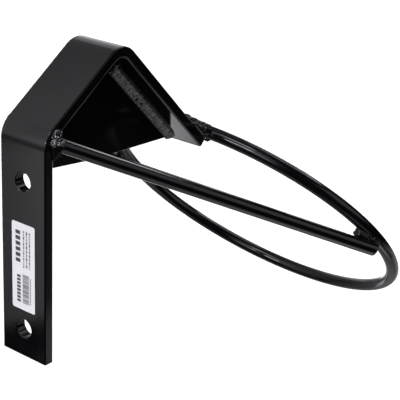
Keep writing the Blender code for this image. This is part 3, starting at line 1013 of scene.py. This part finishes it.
def make_backdrop():
    """A plain white dome that only the camera sees, behind everything."""
    bpy.ops.mesh.primitive_uv_sphere_add(segments=48, ring_count=24, radius=DOME_RADIUS)
    dome = bpy.context.object
    dome.name = "backdrop"
    material = bpy.data.materials.new("backdrop_white")
    material.use_nodes = True
    only_glow(material, (1.0, 1.0, 1.0, 1.0), 1.1)
    dome.data.materials.append(material)
    dome.data.shade_smooth()
    for kind in ("diffuse", "glossy", "transmission", "volume_scatter", "shadow"):
        setattr(dome, "visible_" + kind, False)


def make_sun():
    """The soft key light, from the front and above. Reflections come from the windows instead."""
    light = bpy.data.lights.new("key", "SUN")
    light.energy = 4.3
    light.angle = radians(90.0)
    sun = bpy.data.objects.new("key", light)
    bpy.context.scene.collection.objects.link(sun)
    sun.rotation_mode = "QUATERNION"
    sun.rotation_quaternion = Vector((-1.0, -0.3, 1.0)).to_track_quat("Z", "Y")
    sun.visible_glossy = False


# Soft windows of light round the object, which its gloss reflects. Each has its middle's azimuth
# (0 is +X, 90 is +Y) and elevation, its half sizes and its blurred rim in degrees, and its
# brightness.
WINDOWS = (
    ("left wall", 84.0, 5.0, 40.0, 50.0, 6.0, 0.30),
    ("softbox behind", 180.0, 26.0, 27.0, 38.0, 5.0, 0.40),
    ("behind right", -150.0, 38.0, 14.0, 16.0, 6.0, 0.75),
    ("high strip", -176.0, 53.0, 24.0, 7.0, 3.0, 4.60),
    ("low strip", -179.0, 16.0, 13.0, 4.0, 1.5, 12.00),
    ("low strip fading", -163.0, 9.0, 9.0, 8.0, 4.0, 1.90),
    ("upper right", -18.0, 55.0, 32.0, 11.0, 3.0, 1.50),
    ("its lower edge", -21.0, 39.0, 13.0, 2.4, 0.8, 6.50),
    ("overhead", 60.0, 66.0, 45.0, 10.0, 5.0, 0.25),
    ("zenith", 0.0, 90.0, 400.0, 22.0, 5.0, 0.12),
    ("side card", -67.0, 18.0, 26.0, 15.0, 4.0, 0.60),
    ("far backdrop", 27.0, 4.0, 19.0, 19.0, 4.0, 0.72),
    ("hot spot", 19.0, 18.0, 11.0, 4.0, 2.0, 2.60),
    ("far left", 54.0, 22.0, 13.0, 20.0, 6.0, 0.62),
    ("far horizon", 36.0, -27.0, 16.0, 9.0, 4.0, 1.20),
    ("far floor", 6.0, -30.0, 40.0, 15.0, 3.0, 0.48),
    ("foot glow", -46.0, -34.0, 8.0, 6.8, 0.8, 0.45),
    ("upright side", -46.0, -24.0, 5.0, 4.0, 1.5, 0.09),
    ("foot streak", 137.0, -31.5, 2.8, 2.2, 0.6, 0.35),
    ("under", 0.0, -90.0, 400.0, 42.0, 3.0, 0.35),
    ("under right", -80.0, -68.0, 50.0, 13.0, 3.0, 0.25),
    ("bead glow", -56.0, -73.0, 18.0, 9.0, 4.0, 0.95),
    ("leg glow", 66.0, -43.0, 7.0, 6.0, 3.0, 0.95),
)
ROOM = (0.010, 0.010, 0.011, 1.0)
WINDOW_TINT = (0.97, 0.96, 1.0, 1.0)


# A glowing card that stands square to one direction from the origin
CARD_AZIMUTH = radians(121.0)
CARD_ELEVATION = radians(18.9)
CARD_DISTANCE = 0.6
CARD_SPAN_ACROSS = (-0.75, 0.50)
CARD_SPAN_UP = (-0.73, 0.85)
# Its brightness from the foot up, as (height, brightness)
CARD_PROFILE = (
    (-0.73, 0.00), (-0.715, 0.38), (-0.58, 0.46), (-0.37, 0.60), (-0.33, 0.22), (-0.17, 0.22),
    (-0.08, 0.70), (0.05, 0.90), (0.28, 0.84), (0.40, 0.70), (0.55, 0.86), (0.85, 0.70),
)


def make_card():
    """A glowing card to the left of the bar, which only the gloss of its outer faces sees."""
    level = cos(CARD_ELEVATION)
    facing = Vector((cos(CARD_AZIMUTH) * level, sin(CARD_AZIMUTH) * level, sin(CARD_ELEVATION)))
    sideways = Vector((-sin(CARD_AZIMUTH), cos(CARD_AZIMUTH), 0.0))
    upward = facing.cross(sideways)
    left, right = CARD_SPAN_ACROSS
    bottom, top = CARD_SPAN_UP
    shape = bmesh.new()
    rim = [facing * CARD_DISTANCE + sideways * a + upward * b
           for a, b in ((left, bottom), (right, bottom), (right, top), (left, top))]
    shape.faces.new([shape.verts.new(point) for point in rim])
    card = new_object("side_glow", shape)
    material = bpy.data.materials.new("side_glow")
    material.use_nodes = True
    nodes = Nodes(material.node_tree)
    place = nodes.add("ShaderNodeNewGeometry").outputs["Position"]
    ramp = nodes.add("ShaderNodeValToRGB")
    stops = ramp.color_ramp.elements
    for i, (height, level) in enumerate(CARD_PROFILE):
        at = (height - bottom) / (top - bottom)
        stop = stops[i] if i < 2 else stops.new(at)
        stop.position = at
        stop.color = (level, level, level, 1.0)
    nodes.put(ramp.inputs[0], nodes.span(nodes.dot(place, upward), bottom, top, smooth=False))
    across = nodes.dot(place, sideways)
    near_side = nodes.span(across, 0.11, 0.20, 0.85, 1.45)
    far_side = nodes.span(across, -0.30, -0.18, 0.60, 1.0)
    share = nodes.math("MULTIPLY", near_side, far_side)
    only_glow(material, WINDOW_TINT, nodes.math("MULTIPLY", ramp.outputs["Color"], share))
    card.data.materials.append(material)
    for kind in ("camera", "diffuse", "transmission", "volume_scatter", "shadow"):
        setattr(card, "visible_" + kind, False)


def make_windows():
    """World light: a dark room with soft windows, set by direction."""
    world = bpy.data.worlds.new("studio")
    bpy.context.scene.world = world
    world.use_nodes = True
    nodes = Nodes(world.node_tree)
    direction = nodes.add("ShaderNodeTexCoord").outputs["Generated"]
    parts = nodes.add("ShaderNodeSeparateXYZ")
    nodes.put(parts.inputs[0], direction)
    x, y, z = parts.outputs
    azimuth = nodes.math("ARCTAN2", y, x)
    elevation = nodes.math("ARCSINE", z)
    light = 0.0
    for _, az, el, half_az, half_el, rim, brightness in WINDOWS:
        off_az = nodes.math("SUBTRACT", azimuth, radians(az))
        off_az = nodes.math("ABSOLUTE", nodes.math("WRAP", off_az, pi, -pi))
        off_el = nodes.math("ABSOLUTE", nodes.math("SUBTRACT", elevation, radians(el)))
        within_az = nodes.span(off_az, radians(half_az - rim), radians(half_az + rim), 1.0, 0.0)
        within_el = nodes.span(off_el, radians(half_el - rim), radians(half_el + rim), 1.0, 0.0)
        share = nodes.math("MULTIPLY", within_az, within_el)
        light = nodes.math("MULTIPLY_ADD", share, brightness, light)
    tinted = nodes.add("ShaderNodeMix", data_type="RGBA", blend_type="MULTIPLY")
    nodes.put(tinted.inputs["Factor"], 1.0)
    grey = nodes.add("ShaderNodeCombineColor")
    for channel in ("Red", "Green", "Blue"):
        nodes.put(grey.inputs[channel], light)
    nodes.put(tinted.inputs["A"], grey.outputs["Color"])
    nodes.put(tinted.inputs["B"], WINDOW_TINT)
    total = nodes.add("ShaderNodeMix", data_type="RGBA", blend_type="ADD")
    nodes.put(total.inputs["Factor"], 1.0)
    nodes.put(total.inputs["A"], tinted.outputs["Result"])
    nodes.put(total.inputs["B"], ROOM)
    background = world.node_tree.nodes["Background"]
    nodes.put(background.inputs["Color"], total.outputs["Result"])


# Camera
CAMERA_PLACE = Vector((-0.60539, -0.64797, 0.40419))
CAMERA_AZIMUTH = radians(37.70)    # the way it looks, from +X towards +Y
CAMERA_PITCH = radians(21.56)      # below the horizon
CAMERA_ROLL = radians(2.914)
CAMERA_LENS = 105.571
CAMERA_SENSOR = 36.0


def make_camera():
    """The camera, from behind the mounting face and above, on the right."""
    data = bpy.data.cameras.new("camera")
    data.lens = CAMERA_LENS
    data.sensor_width = CAMERA_SENSOR
    data.clip_start = 0.05
    data.clip_end = 2.0 * FLOOR_SIZE
    camera = bpy.data.objects.new("camera", data)
    bpy.context.scene.collection.objects.link(camera)
    level = cos(CAMERA_PITCH)
    forward = Vector((cos(CAMERA_AZIMUTH) * level, sin(CAMERA_AZIMUTH) * level,
                      -sin(CAMERA_PITCH)))
    right = Vector((sin(CAMERA_AZIMUTH), -cos(CAMERA_AZIMUTH), 0.0))
    up = right.cross(forward)
    right, up = (right * cos(CAMERA_ROLL) + up * sin(CAMERA_ROLL),
                 up * cos(CAMERA_ROLL) - right * sin(CAMERA_ROLL))
    turn = Matrix((right, up, -forward)).transposed().to_4x4()
    camera.matrix_world = Matrix.Translation(CAMERA_PLACE) @ turn
    bpy.context.scene.camera = camera


make_bar()
make_gusset()
make_hoop()
make_braces()
make_gusset_welds()
make_hoop_welds()
make_brace_start_welds()
make_brace_end_welds()
make_label()
make_print()
make_floor()
make_backdrop()
make_sun()
make_windows()
make_card()
make_camera()
bpy.context.scene.view_settings.view_transform = "Standard"
